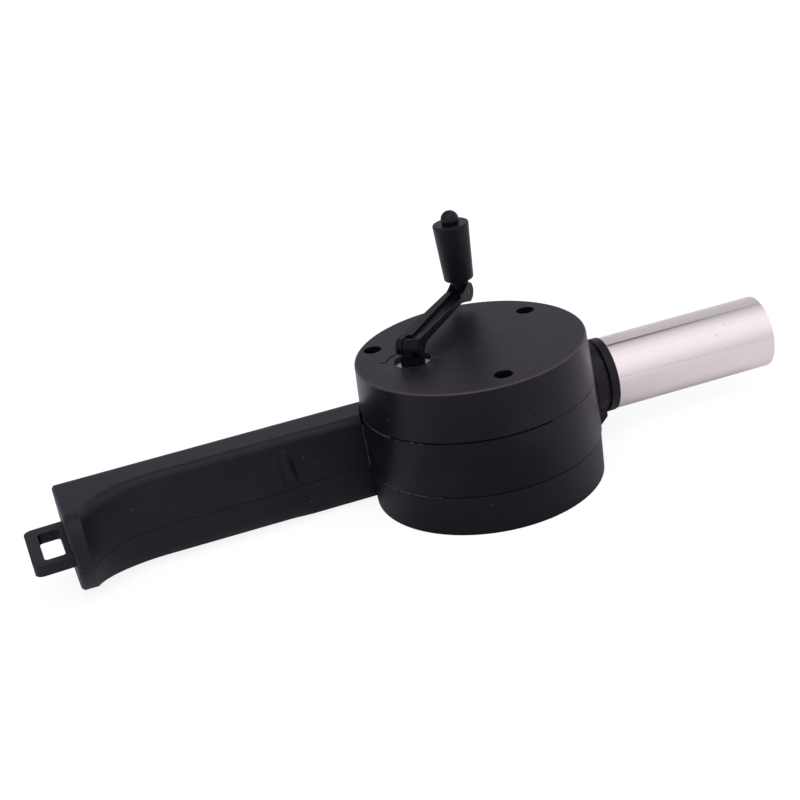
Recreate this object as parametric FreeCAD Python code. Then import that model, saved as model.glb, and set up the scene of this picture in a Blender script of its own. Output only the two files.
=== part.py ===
import FreeCAD, Part
import math
import os

# Hand crank fan: a round blower drum with a scooped side handle, a steel outlet tube
# and a folding crank on top. Millimetres, +Z up, +X along the outlet tube.
# The origin is the drum's axis at the flat base that it stands on.

os.makedirs("parts", exist_ok=True)
V = FreeCAD.Vector

# Fits, walls, the distance by which a cutting tool runs past a face, and a tolerance
over = 1.0
tiny = 0.01
running_fit = 0.05
seat_fit = 0.02
slip_gap = 0.15
side_play = 0.25
wall = 2.3
seam_break = 0.25
parting_gap = 0.15

# Drum: three stacked round mouldings that fit round the gears, each with a slight taper
bottom_height = 14.5
middle_height = 19.8
gear_clearance = 0.577
cover_draft = 0.9
seam_high_step = 0.1
middle_draft = 0.5
seam_low_step = 0.3
bottom_draft = 0.4
rim_fillet = 0.6
cover_thickness = 2.2
deck_thickness = 2.2
floor_thickness = 2.2
lip_height = 2.6
lip_thickness = 1.2
seam_low = bottom_height
seam_high = seam_low + middle_height
deck_underside = seam_high - deck_thickness

# Screws, all of one thread size
screw_radius = 1.45
screw_head_radius = 2.75
screw_head_height = 2.0
screw_recess_radius = 3.2
screw_bevel = 0.6
screw_tip_play = 0.5
cross_reach = 1.7
cross_half_width = 0.35
cross_depth = 1.0
post_wall = 1.1
thread_depth = 6.0
screw_hole_play = 0.3
post_radius = screw_recess_radius + post_wall
pilot_radius = screw_radius + running_fit
through_radius = screw_radius + screw_hole_play

# Cover screws: distances in from the top rim. The first stands beside the crank gear, the
# second at an angle of its own and the third beside the idler gear.
cover_screw_insets = [5.2, 8.0, 8.8]
cover_screw_angle = 32.0
cover_post_clearance = 0.65
cover_post_floor = 4.0

# Base screws, reached from underneath
base_screw_angles = [100.0, 215.0, 325.0]
base_screw_inset = 6.4
base_recess_depth = 6.0

# Outlet tube, neck and collar
tube_y = 13.0
tube_radius = 13.26
tube_wall = 0.5
neck_length = 11.45
tube_length = 61.7
neck_step = 0.26
spigot_wall = 1.71
collar_width = 3.3
collar_proud = 0.35
collar_groove = 0.6
spigot_length = 12.0
foot_half_width = 8.0
foot_lift = 0.8
tube_z = seam_high - tube_radius
neck_radius = tube_radius - neck_step
spigot_radius = tube_radius - tube_wall - running_fit
neck_bore_radius = spigot_radius - spigot_wall

# Handle: a straight back, a scooped front and a flange that stops the hand
handle_length = 106.0
handle_back = 22.5
handle_back_round = 6.5
root_front = 6.3
root_length = 21.0
root_blend = 10.0
grip_front = 4.3
grip_lift = 0.6
top_round = 2.6
grip_round = 8.0
root_round = 6.0
flange_thickness = 6.3
flange_projection = 19.6
flange_round = 16.5
flange_top_round = 5.0
flange_break = 0.8
end_slant = 3.2
slant_y = 10.0
scoop_run = 26.0
scoop_lip = math.radians(12.0)
scoop_steps = 8
handle_wall = 2.2
least_round = 0.6
cavity_skipped_steps = 3
blend_steps = 4
loft_degree = 3

# Tenon that carries the handle's upper shell in the drum wall
tenon_width = 10.0
tenon_height = 9.0
tenon_y = 14.0
tenon_rise = 9.5

# Screws that close the handle: one stands off the drum's wall, the other off the handle's end
handle_screw_reach = 32.7
handle_screw_inset = 29.3
handle_screw_y = 13.5
handle_recess_depth = 7.0
handle_thread_depth = 8.5

# Lanyard loop on the end of the handle
loop_length = 13.3
loop_width = 28.6
loop_thickness = 3.8
loop_y = 1.35
loop_rise = 3.2
loop_end_bar = 4.2
loop_near_bar = 3.5
loop_far_bar = 4.9
loop_corner = 3.0
slot_corner = 1.2
loop_neck = 2.0

# Gear train
gear_module = 0.7
pressure_angle = math.radians(20.0)
addendum = 0.8
dedendum = 1.1
backlash = 0.16
flank_steps = 4
crank_teeth = 42
idler_pinion_teeth = 12
idler_teeth = 40
reversing_teeth = 14
impeller_teeth = 12
crank_offset = 20.5
idler_angle = -65.0
lower_gear_lift = 1.7
lower_gear_width = 3.5
gear_hub_gap = 0.2
upper_gear_gap = 1.7
upper_gear_width = 3.6
hub_step = 0.73
lightening_holes = 6
lightening_web = 1.67
axle_radius = 1.5
crank_journal_radius = 3.0
hub_radius = 4.2
flat_depth = 0.6
clip_thickness = 0.5
clip_groove_depth = 0.5
clip_proud = 0.9
clip_mouth = 3.2
crank_hub_radius = 6.0
bush_wall = 1.5
washer_thickness = 0.5
end_play = 0.1
boss_wall = 1.5
boss_depth = 3.4
cover_boss_depth = 2.7
screw_boss_floor = 0.8
axle_bite = 0.4
blind_floor = 1.2

# Crank
shaft_hole_radius = 6.5
crank_washer_radius = 8.2
crank_washer_thickness = 0.8
upper_bush_length = 3.0
hub_stand = 1.6
arm_angle = 49.0
crank_radius = 46.5
near_width = 8.4
far_width = 6.8
arm_height = 3.0
ear_gap = 0.35
left_rail_near = 4.0
left_rail_far = 2.2
right_rail = 0.7
right_rail_drop = 1.2
web_drop = 1.1
web_fall = 0.6
tongue_thickness = 3.4
tongue_radius = 2.7
ear_radius = 3.0
far_ear_radius = 3.5
far_pivot_rise = 1.1
ear_slope = 5.0
far_ear_slope = 8.0
pin_radius = 1.05
pin_sink = 0.1

# Knob and its stem
knob_height = 21.1
knob_low_radius = 5.35
knob_top_radius = 6.55
knob_fillet = 0.5
knob_ring_height = 6.4
knob_ring_depth = 0.12
knob_ring_width = 0.25
stem_radius = 2.0
stem_flange_radius = 3.4
stem_flange_height = 1.4
dome_radius = 3.25
dome_rise = 1.4

# Impeller
impeller_clearance = 1.9
impeller_plate = 1.8
impeller_floor_gap = 4.8
impeller_boss_gap = 1.7
impeller_hub_radius = 5.0
blade_count = 12
blade_inner_radius = 12.0
blade_thickness = 1.4
blade_tip_inset = 0.3
shroud_inner_radius = 21.0
shroud_thickness = 1.4

# Scroll wall round the impeller
scroll_wall = 1.6
tongue_gap = 1.6
tongue_angle = -5.0
scroll_turn = 300.0
scroll_steps = 12

# Intake openings in the base
intake_inner_radius = 8.5
intake_outer_radius = 23.0
intake_ribs = 12
intake_rib_width = 2.0
intake_ring_radius = 16.0

# Direction mark moulded beside the crank hole
mark_radius = 9.2
mark_width = 0.7
mark_depth = 0.3
mark_start = 104.0
mark_end = 158.0
mark_barb = 2.6
barb_tilt = 8.0


def cyl(radius, bottom, top, x=0.0, y=0.0):
    return Part.makeCylinder(radius, top - bottom, V(x, y, bottom))


def ring(outer, inner, bottom, top, x=0.0, y=0.0):
    return cyl(outer, bottom, top, x, y).cut(cyl(inner, bottom - 1, top + 1, x, y))


def cone(low_radius, high_radius, bottom, top):
    return Part.makeCone(low_radius, high_radius, top - bottom, V(0, 0, bottom))


def box(x0, x1, y0, y1, z0, z1):
    return Part.makeBox(x1 - x0, y1 - y0, z1 - z0, V(x0, y0, z0))


def x_cyl(radius, start, end):
    return Part.makeCylinder(radius, end - start, V(start, tube_y, tube_z), V(1, 0, 0))


def y_cyl(radius, x, z, half_length):
    return Part.makeCylinder(radius, 2 * half_length, V(x, -half_length, z), V(0, 1, 0))


def polar(radius, degrees):
    angle = math.radians(degrees)
    return radius * math.cos(angle), radius * math.sin(angle)


def prism(points, z0, z1):
    corners = [V(x, y, z0) for x, y in points]
    face = Part.Face(Part.makePolygon(corners + [corners[0]]))
    return face.extrude(V(0, 0, z1 - z0))


def fused(shapes):
    return shapes[0].multiFuse(shapes[1:]).removeSplitter()


def save(shape, name):
    print(name, len(shape.Solids), round(shape.Volume, 1), shape.isValid())
    shape.exportStep("parts/" + name + ".step")


# Gears: involute teeth with straight roots, thinned for backlash


def gear_tip(teeth):
    return gear_module * (teeth / 2 + addendum)


def gear_root(teeth):
    return gear_module * (teeth / 2 - dedendum)


def gear_wire(teeth, z):
    pitch = gear_module * teeth / 2
    base = pitch * math.cos(pressure_angle)
    tip = gear_tip(teeth)
    root = gear_root(teeth)
    start = max(root, base)
    half = (math.pi * gear_module / 2 - backlash / 2) / (2 * pitch)
    shift = half + math.tan(pressure_angle) - pressure_angle

    def flank_angle(radius):
        roll = math.acos(min(1.0, base / radius))
        return shift - (math.tan(roll) - roll)

    def at(radius, angle):
        return V(radius * math.cos(angle), radius * math.sin(angle), z)

    radii = [start + (tip - start) * step / flank_steps for step in range(flank_steps + 1)]
    step_angle = 2 * math.pi / teeth
    edges = []
    for tooth in range(teeth):
        middle = tooth * step_angle
        low = at(root, middle - flank_angle(start))
        rising = [at(r, middle - flank_angle(r)) for r in radii]
        falling = [at(r, middle + flank_angle(r)) for r in reversed(radii)]
        high = at(root, middle + flank_angle(start))
        if start > root:
            edges.append(Part.LineSegment(low, rising[0]).toShape())
        for points in (rising, falling):
            curve = Part.BSplineCurve()
            curve.interpolate(points)
            edges.append(curve.toShape())
            if points is rising:
                edges.append(Part.Arc(rising[-1], at(tip, middle), falling[0]).toShape())
        if start > root:
            edges.append(Part.LineSegment(falling[-1], high).toShape())
        following = at(root, middle + step_angle - flank_angle(start))
        edges.append(Part.Arc(high, at(root, middle + step_angle / 2), following).toShape())
    return Part.Wire(edges)


def gear(teeth, bottom, top, turn, place):
    solid = Part.Face(gear_wire(teeth, bottom)).extrude(V(0, 0, top - bottom))
    solid.rotate(V(0, 0, 0), V(0, 0, 1), turn)
    solid.translate(V(place[0], place[1], 0))
    return solid


def heading(start, end):
    return math.degrees(math.atan2(end[1] - start[1], end[0] - start[0]))


def mesh_turn(driver_turn, driver_teeth, driver_place, driven_teeth, driven_place):
    facing = heading(driver_place, driven_place)
    offset = (facing - driver_turn) % (360 / driver_teeth)
    return facing + 180 + (offset * driver_teeth + 180) / driven_teeth


def spread(reach, other_reach, distance):
    """Angle seen from the drum's axis between two places that stand a distance apart."""
    along = (reach ** 2 + other_reach ** 2 - distance ** 2) / (2 * reach * other_reach)
    return math.degrees(math.acos(along))


# Axes of the train: crank, compound idler, reversing gear and impeller
crank_place = (-crank_offset, 0.0)
impeller_place = (0.0, 0.0)
crank_to_idler = gear_module * (crank_teeth + idler_pinion_teeth) / 2
idler_to_reversing = gear_module * (idler_teeth + reversing_teeth) / 2
reversing_to_impeller = gear_module * (reversing_teeth + impeller_teeth) / 2
idler_step = polar(crank_to_idler, idler_angle)
idler_place = (crank_place[0] + idler_step[0], crank_place[1] + idler_step[1])
idler_reach = math.hypot(idler_place[0], idler_place[1])
idler_heading = heading(impeller_place, idler_place)
reversing_turn = spread(idler_reach, reversing_to_impeller, idler_to_reversing)
reversing_place = polar(reversing_to_impeller, idler_heading + reversing_turn)
axle_places = [idler_place, reversing_place]

# Radii: the drum's wall goes round both large gears and the lip that centres the cover
crank_gear_tip = gear_tip(crank_teeth)
idler_gear_tip = gear_tip(idler_teeth)
gear_reach = max(crank_offset + crank_gear_tip, idler_reach + idler_gear_tip)
lip_outer = gear_reach + gear_clearance + lip_thickness
cover_inner = lip_outer + slip_gap
cover_top_radius = cover_inner + wall
cover_low_radius = cover_top_radius + cover_draft
middle_top_radius = cover_low_radius - seam_high_step
middle_low_radius = middle_top_radius + middle_draft
bottom_top_radius = middle_low_radius - seam_low_step
base_radius = bottom_top_radius - bottom_draft
chamber_radius = base_radius - wall
base_screw_circle = base_radius - base_screw_inset
impeller_radius = base_screw_circle - post_radius - impeller_clearance
tube_start = middle_low_radius + neck_length
neck_end = tube_start - collar_width - collar_groove
handle_end = -middle_low_radius - handle_length
flange_face = handle_end + flange_thickness
scoop_end = flange_face + scoop_run
grip_end = -middle_low_radius - root_length

# Levels: the crank gear, its bearing and its washer stack up from the deck to the cover
lower_gear_bottom = seam_high + lower_gear_lift
lower_gear_top = lower_gear_bottom + lower_gear_width
upper_gear_bottom = lower_gear_top + upper_gear_gap
upper_gear_top = upper_gear_bottom + upper_gear_width
crank_hub_bottom = lower_gear_top + gear_hub_gap
crank_hub_top = upper_gear_top + hub_step
upper_bush_bottom = crank_hub_top + end_play
upper_bush_top = upper_bush_bottom + upper_bush_length
washer_bottom = upper_bush_top + seat_fit
cover_underside = washer_bottom + crank_washer_thickness
drum_top = cover_underside + cover_thickness
boss_bottom = deck_underside - boss_depth
idler_bottom = seam_high + washer_thickness + 2 * end_play
idler_boss_bottom = cover_underside - cover_boss_depth
idler_top = idler_boss_bottom - washer_thickness - 2 * end_play
axle_seat = axle_radius + seat_fit
axle_run = axle_radius + running_fit
axle_bush_radius = axle_run + bush_wall
journal_run = crank_journal_radius + running_fit
journal_bush_radius = journal_run + bush_wall
hub_run = hub_radius + running_fit

screw_reaches = [cover_top_radius - inset for inset in cover_screw_insets]
post_room = post_radius + cover_post_clearance
crank_side = 180 - spread(screw_reaches[0], crank_offset, crank_gear_tip + post_room)
idler_side = idler_heading + spread(screw_reaches[2], idler_reach, idler_gear_tip + post_room)
screw_angles = [crank_side, cover_screw_angle, idler_side]
cover_screws = [polar(reach, angle) for reach, angle in zip(screw_reaches, screw_angles)]
base_screws = [polar(base_screw_circle, angle) for angle in base_screw_angles]
handle_screws = [(-middle_low_radius - handle_screw_reach, handle_screw_y),
                 (handle_end + handle_screw_inset, handle_screw_y)]


# Screws with a bevelled crown and a cross recess


def screw(x, y, seat, length, upward):
    shank = cyl(screw_radius, seat - length, seat)
    crown_top = seat + screw_head_height
    shoulder = crown_top - screw_bevel
    head = cyl(screw_head_radius, seat, shoulder)
    crown = cone(screw_head_radius, screw_head_radius - screw_bevel, shoulder, crown_top)
    slot = box(-cross_reach, cross_reach, -cross_half_width, cross_half_width,
               crown_top - cross_depth, crown_top + over)
    cross = box(-cross_half_width, cross_half_width, -cross_reach, cross_reach,
                crown_top - cross_depth, crown_top + over)
    solid = fused([shank, head, crown]).cut(slot).cut(cross)
    if upward:
        solid.rotate(V(0, 0, seat), V(1, 0, 0), 180)
    solid.translate(V(x, y, 0))
    return solid


cover_seat = seam_high + cover_post_floor
cover_screw_length = cover_post_floor + thread_depth - screw_tip_play
save(Part.makeCompound([screw(x, y, cover_seat, cover_screw_length, False)
                        for x, y in cover_screws]), "cover_screws")
base_screw_length = seam_low - base_recess_depth + thread_depth - screw_tip_play
save(Part.makeCompound([screw(x, y, base_recess_depth, base_screw_length, True)
                        for x, y in base_screws]), "base_screws")
handle_screw_length = seam_low - handle_recess_depth + handle_thread_depth - screw_tip_play
save(Part.makeCompound([screw(x, y, handle_recess_depth, handle_screw_length, True)
                        for x, y in handle_screws]), "handle_screws")


# Scroll wall: a spiral that opens towards the outlet, with its tongue beside the neck


def scroll_points(offset, z):
    tight = impeller_radius + tongue_gap
    wide = chamber_radius - scroll_wall / 2
    points = []
    for step in range(scroll_steps + 1):
        part = step / scroll_steps
        radius = tight + (wide - tight) * part + offset
        x, y = polar(radius, tongue_angle - scroll_turn * part)
        points.append(V(x, y, z))
    return points


def scroll_solid(z0, z1):
    inner = scroll_points(0.0, z0)
    outer = scroll_points(scroll_wall, z0)
    inner_curve = Part.BSplineCurve()
    inner_curve.interpolate(inner)
    outer_curve = Part.BSplineCurve()
    outer_curve.interpolate(outer)
    edges = [inner_curve.toShape(), Part.LineSegment(inner[-1], outer[-1]).toShape(),
             outer_curve.toShape(), Part.LineSegment(outer[0], inner[0]).toShape()]
    spiral = Part.Face(Part.Wire(Part.__sortEdges__(edges))).extrude(V(0, 0, z1 - z0))
    mouth_x = chamber_radius + wall / 2
    mouth_y = tube_y - neck_bore_radius - scroll_wall
    lead = prism([(inner[0].x, inner[0].y), (outer[0].x, outer[0].y - scroll_wall),
                  (mouth_x, mouth_y - scroll_wall), (mouth_x, mouth_y)], z0, z1)
    return spiral.fuse(lead).common(cyl(chamber_radius + wall / 2, z0, z1))


# Neck: a round spigot for the tube, with a sloping foot down to the base

neck_start = chamber_radius - neck_radius / 2
spigot_end = tube_start + spigot_length
foot_top = tube_z - neck_radius
foot_run = neck_end - foot_top + foot_lift
foot_profile = [(neck_start, foot_lift), (foot_run, foot_lift), (neck_end, foot_top),
                (neck_end, tube_z), (neck_start, tube_z)]
foot_corners = [V(x, tube_y - foot_half_width, z) for x, z in foot_profile]
foot = Part.Face(Part.makePolygon(foot_corners + [foot_corners[0]]))
foot = foot.extrude(V(0, 2 * foot_half_width, 0))
air_way = x_cyl(neck_bore_radius, neck_start, spigot_end + over)
neck = fused([x_cyl(neck_radius, neck_start, neck_end), x_cyl(spigot_radius, neck_end, spigot_end), foot])
neck = neck.cut(cyl(chamber_radius + wall / 2, -over, seam_high + over))
everything = 400.0
low_half = box(-everything, everything, -everything, everything, -everything, seam_low)
high_half = box(-everything, everything, -everything, everything, seam_low, everything)


# Handle sections, from the drum to the end flange


def section(x, high_front, low_front, back, bottom, top, top_radius, bottom_radius, back_radius):
    corners = [(high_front, top, top_radius, 1, -1), (back, top, back_radius, -1, -1),
               (back, bottom, back_radius, -1, 1), (low_front, bottom, bottom_radius, 1, 1)]
    ends = []
    middles = []
    for y, z, radius, side, rise in corners:
        cut = radius * (1 - math.sqrt(0.5))
        upright = V(x, y, z + rise * radius)
        level = V(x, y + side * radius, z)
        ends.append((upright, level) if side * rise < 0 else (level, upright))
        middles.append(V(x, y + side * cut, z + rise * cut))
    edges = []
    for index in range(4):
        start, end = ends[index]
        edges.append(Part.Arc(start, middles[index], end).toShape())
        edges.append(Part.LineSegment(end, ends[(index + 1) % 4][0]).toShape())
    return Part.Wire(edges)


def handle_section(x, root, bend, inset):
    front = grip_front - flange_projection * bend
    step = (root_front - grip_front) * root
    bottom = grip_lift * (1 - max(root, bend))
    low = grip_round + (root_round - grip_round) * root + flange_round * bend
    high = top_round + flange_top_round * bend
    return section(x, front + inset, front + step + inset, handle_back - inset, bottom + inset,
                   seam_high - inset, max(high - inset, least_round), low - inset,
                   handle_back_round - inset)


def root_blend_sections(inset):
    wires = []
    for step in range(blend_steps + 1):
        part = step / blend_steps
        root = part * part * (3 - 2 * part)
        wires.append(handle_section(grip_end - root_blend * (1 - part), root, 0.0, inset))
    return wires


def scoop_sections(inset, first):
    wires = []
    for step in range(first, scoop_steps + 1):
        angle = scoop_lip + (math.pi / 2 - scoop_lip) * step / scoop_steps
        along = 1 - math.cos(angle) / math.cos(scoop_lip)
        bend = (1 - math.sin(angle)) / (1 - math.sin(scoop_lip))
        wires.append(handle_section(flange_face + scoop_run * along, 0.0, bend, inset))
    return wires


def handle_solid(near, inset, first):
    root = [handle_section(x, 1.0, 0.0, inset) for x in (grip_end, near)]
    grip = [handle_section(x, 0.0, 0.0, inset) for x in (scoop_end, grip_end - root_blend)]
    return fused([Part.makeLoft(root, True, True), Part.makeLoft(grip, True, True),
                  Part.makeLoft(root_blend_sections(inset), True, False, False, loft_degree),
                  Part.makeLoft(scoop_sections(inset, first), True, False, False, loft_degree)])


def slanted(shape):
    shape = shape.copy()
    shape.rotate(V(handle_end, slant_y, 0), V(0, 0, 1), end_slant)
    return shape


handle_near = -math.sqrt(chamber_radius ** 2 - handle_back ** 2)
bulkhead = -middle_low_radius - handle_wall
rim_start = handle_end + flange_break
rim_far = slanted(handle_section(handle_end, 0.0, 1.0, flange_break))
rim_near = slanted(handle_section(rim_start, 0.0, 1.0, 0.0))
flange = Part.makeLoft([rim_near, handle_section(flange_face, 0.0, 1.0, 0.0)], True, True)
rim = Part.makeLoft([rim_far, rim_near], True, True)
handle_outside = fused([handle_solid(handle_near, 0.0, 0), flange, rim])
handle_inside = handle_solid(bulkhead, handle_wall, cavity_skipped_steps)
handle_shell = handle_outside.cut(handle_inside)

loop_back = loop_y + loop_width / 2
loop_front = loop_y - loop_width / 2
loop_end = handle_end - loop_length
loop_bottom = seam_low + loop_rise
loop_top = loop_bottom + loop_thickness
loop = box(loop_end, handle_end + loop_neck, loop_front, loop_back, loop_bottom, loop_top)
outer_corners = [e for e in loop.Edges
                 if e.BoundBox.ZLength > loop_thickness / 2 and e.BoundBox.XMax < handle_end]
loop = loop.makeFillet(loop_corner, outer_corners)
slot = box(loop_end + loop_end_bar, handle_end - loop_neck, loop_front + loop_near_bar,
           loop_back - loop_far_bar, loop_bottom - over, loop_top + over)
slot = slot.makeFillet(slot_corner, [e for e in slot.Edges if e.BoundBox.ZLength > loop_thickness])
loop = slanted(loop.cut(slot))

tenon_front = tenon_y - tenon_width / 2
tenon_back = tenon_y + tenon_width / 2
tenon_low = seam_low + tenon_rise - tenon_height / 2
tenon_high = tenon_low + tenon_height
tenon_inner = -math.sqrt(chamber_radius ** 2 - tenon_back ** 2)
tenon = box(bulkhead, tenon_inner, tenon_front, tenon_back, tenon_low, tenon_high)
tenon = tenon.cut(cyl(chamber_radius + slip_gap, 0, drum_top))
mortise = box(bulkhead, tenon_inner + over, tenon_front - slip_gap, tenon_back + slip_gap,
              tenon_low - slip_gap, tenon_high + slip_gap)

upper_posts = [cyl(pilot_radius + boss_wall, seam_low, seam_high - handle_wall / 2, x, y)
               for x, y in handle_screws]
upper_shell = fused([handle_shell] + upper_posts + [loop])
upper_shell = upper_shell.common(high_half)
upper_shell = upper_shell.cut(cyl(middle_low_radius + slip_gap, seam_low - over, drum_top))
upper_shell = upper_shell.cut(box(-everything, 0, -everything, everything,
                                  seam_low, seam_low + parting_gap))
upper_shell = upper_shell.fuse(tenon)
for x, y in handle_screws:
    upper_shell = upper_shell.cut(cyl(pilot_radius, seam_low, seam_low + handle_thread_depth, x, y))
save(upper_shell, "handle_upper_shell")


# Top cover with its screw pillars, bearing seat and direction mark

cover = cone(cover_low_radius, cover_top_radius, seam_high, drum_top)
top_edge = [e for e in cover.Edges if e.BoundBox.ZMin > drum_top - tiny]
cover = cover.makeFillet(rim_fillet, top_edge)
low_edge = [e for e in cover.Edges if e.BoundBox.ZMax < seam_high + tiny]
cover = cover.makeChamfer(seam_break, low_edge)
cover = cover.cut(cyl(cover_inner, seam_high - over, cover_underside))
pillars = [cyl(post_radius, seam_high, cover_underside, x, y) for x, y in cover_screws]
bearing_seat = crank_washer_radius + seat_fit
cover_crank_boss = cyl(bearing_seat + boss_wall, upper_bush_bottom, cover_underside, *crank_place)
cover_axle_bosses = [cyl(axle_seat + boss_wall, idler_boss_bottom, cover_underside, x, y)
                     for x, y in axle_places]
pillar_trim = cone(cover_low_radius - wall / 2, cover_top_radius - wall / 2, seam_high, drum_top)
pillars = [pillar.common(pillar_trim) for pillar in pillars]
cover = fused([cover, cover_crank_boss] + cover_axle_bosses + pillars)
cover = cover.cut(cyl(bearing_seat, upper_bush_bottom - over, cover_underside, *crank_place))
cover = cover.cut(cyl(shaft_hole_radius, cover_underside - over, drum_top + over, *crank_place))
axle_top = cover_underside + axle_bite
for x, y in axle_places:
    cover = cover.cut(cyl(axle_seat, idler_boss_bottom - over, axle_top + end_play, x, y))
for x, y in cover_screws:
    cover = cover.cut(cyl(screw_recess_radius, cover_seat, drum_top + over, x, y))
    cover = cover.cut(cyl(through_radius, seam_high - over, cover_seat + over, x, y))

mark_floor = drum_top - mark_depth
mark_arc = ring(mark_radius + mark_width / 2, mark_radius - mark_width / 2,
                mark_floor, drum_top + over, *crank_place)
reach = 2 * mark_radius
sector = [crank_place] + [(crank_place[0] + polar(reach, angle)[0],
                           crank_place[1] + polar(reach, angle)[1])
                          for angle in (mark_start, (mark_start + mark_end) / 2, mark_end)]
mark_arc = mark_arc.common(prism(sector, mark_floor, drum_top + over))
barb = box(0, mark_barb, -mark_width / 2, mark_width / 2, mark_floor, drum_top + over)
barb.rotate(V(0, 0, 0), V(0, 0, 1), mark_end - barb_tilt)
tip_x, tip_y = polar(mark_radius, mark_end)
barb.translate(V(crank_place[0] + tip_x, crank_place[1] + tip_y, 0))
cover = cover.cut(mark_arc).cut(barb)
save(cover, "top_cover")


# Middle housing: ring, gear deck, bearing bosses, scroll wall and upper half of the neck

middle = cone(middle_low_radius, middle_top_radius, seam_low, seam_high)
middle_edges = [e for e in middle.Edges if e.BoundBox.ZLength < tiny]
middle = middle.makeChamfer(seam_break, middle_edges)
middle = middle.cut(cyl(chamber_radius, seam_low - over, deck_underside))
lip = ring(lip_outer, lip_outer - lip_thickness, deck_underside, seam_high + lip_height)
for x, y in cover_screws:
    lip = lip.cut(cyl(post_radius + slip_gap, seam_high - over, seam_high + lip_height + over, x, y))
crank_boss = cyl(journal_bush_radius + boss_wall, boss_bottom, deck_underside + over, *crank_place)
shaft_boss = cyl(axle_bush_radius + boss_wall, boss_bottom, deck_underside + over)
axle_bosses = [cyl(axle_seat + boss_wall, boss_bottom, deck_underside + over, x, y)
               for x, y in axle_places]
thread_floor = seam_high - thread_depth
cover_bosses = [cyl(pilot_radius + boss_wall, thread_floor - screw_boss_floor, deck_underside + over, x, y)
                for x, y in cover_screws]
base_bosses = [cyl(pilot_radius + boss_wall, seam_low, seam_low + thread_depth + over, x, y)
               for x, y in base_screws]
boss_trim = cyl(chamber_radius + wall / 2, 0, seam_high)
outer_bosses = [boss.common(boss_trim) for boss in cover_bosses + base_bosses]
middle = fused([middle, lip, crank_boss, shaft_boss, neck.common(high_half),
                scroll_solid(seam_low, deck_underside + over)] + axle_bosses + outer_bosses)
blind = boss_bottom + blind_floor
middle = middle.cut(cyl(journal_bush_radius + seat_fit, blind, seam_high + over, *crank_place))
middle = middle.cut(cyl(axle_bush_radius + seat_fit, boss_bottom - over, seam_high + over))
for x, y in axle_places:
    middle = middle.cut(cyl(axle_seat, blind, seam_high + over, x, y))
for x, y in cover_screws:
    middle = middle.cut(cyl(pilot_radius, thread_floor, seam_high + over, x, y))
for x, y in base_screws:
    middle = middle.cut(cyl(pilot_radius, seam_low - over, seam_low + thread_depth, x, y))
middle = middle.cut(air_way).cut(mortise)
save(middle, "middle_housing")


# Bottom housing: cup, intake, bearing boss, scroll wall, lower neck and lower handle half

impeller_bottom = floor_thickness + impeller_floor_gap
impeller_top = boss_bottom - impeller_boss_gap
lower_bush_top = impeller_bottom - washer_thickness - 2 * end_play
bottom = cone(base_radius, bottom_top_radius, 0, seam_low)
bottom_edge = [e for e in bottom.Edges if e.BoundBox.ZMin > seam_low - tiny]
bottom = bottom.makeChamfer(seam_break, bottom_edge)
bottom = bottom.cut(cyl(chamber_radius, floor_thickness, seam_low + over))
intake = ring(intake_outer_radius, intake_inner_radius, -over, floor_thickness + over)
middle_ring = ring(intake_ring_radius + intake_rib_width / 2,
                   intake_ring_radius - intake_rib_width / 2, -2 * over, floor_thickness + 2 * over)
intake = intake.cut(middle_ring)
for index in range(intake_ribs):
    rib = box(0, intake_outer_radius + over, -intake_rib_width / 2, intake_rib_width / 2,
              -2 * over, floor_thickness + 2 * over)
    rib.rotate(V(0, 0, 0), V(0, 0, 1), index * 360 / intake_ribs)
    intake = intake.cut(rib)
bottom = bottom.cut(intake)
base_posts = [cyl(post_radius, 0, seam_low, x, y).common(cyl(chamber_radius + wall / 2, 0, seam_low))
              for x, y in base_screws]
lower_boss = cyl(axle_bush_radius + boss_wall, 0, lower_bush_top)
lower_posts = [cyl(post_radius, 0, seam_low, x, y).common(handle_outside) for x, y in handle_screws]
lower_handle = fused([handle_shell] + lower_posts).common(low_half)
lower_handle = lower_handle.cut(cyl(chamber_radius + wall / 2, -over, seam_low + over))
bottom = fused([bottom, lower_boss, lower_handle, neck.common(low_half),
                scroll_solid(floor_thickness - over, seam_low)] + base_posts)
bottom = bottom.cut(cyl(axle_bush_radius + seat_fit, blind_floor, lower_bush_top + over))
for x, y in base_screws:
    bottom = bottom.cut(cyl(screw_recess_radius, -over, base_recess_depth, x, y))
    bottom = bottom.cut(cyl(through_radius, 0, seam_low + over, x, y))
for x, y in handle_screws:
    bottom = bottom.cut(cyl(screw_recess_radius, -over, handle_recess_depth, x, y))
    bottom = bottom.cut(cyl(through_radius, 0, seam_low + over, x, y))
bottom = bottom.cut(air_way)
save(bottom, "bottom_housing")


# Outlet tube and its collar

tube_end = tube_start + tube_length
outlet = x_cyl(tube_radius, tube_start, tube_end)
outlet = outlet.cut(x_cyl(tube_radius - tube_wall, tube_start - over, tube_end + over))
save(outlet, "outlet_tube")
collar = x_cyl(tube_radius + collar_proud, tube_start - collar_width, tube_start)
collar = collar.makeFillet(collar_proud, [e for e in collar.Edges if e.BoundBox.XLength < tiny])
collar = collar.cut(x_cyl(spigot_radius + seat_fit, tube_start - collar_width - over, tube_start + over))
save(collar, "tube_collar")


# Bearings, washers and axles

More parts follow.
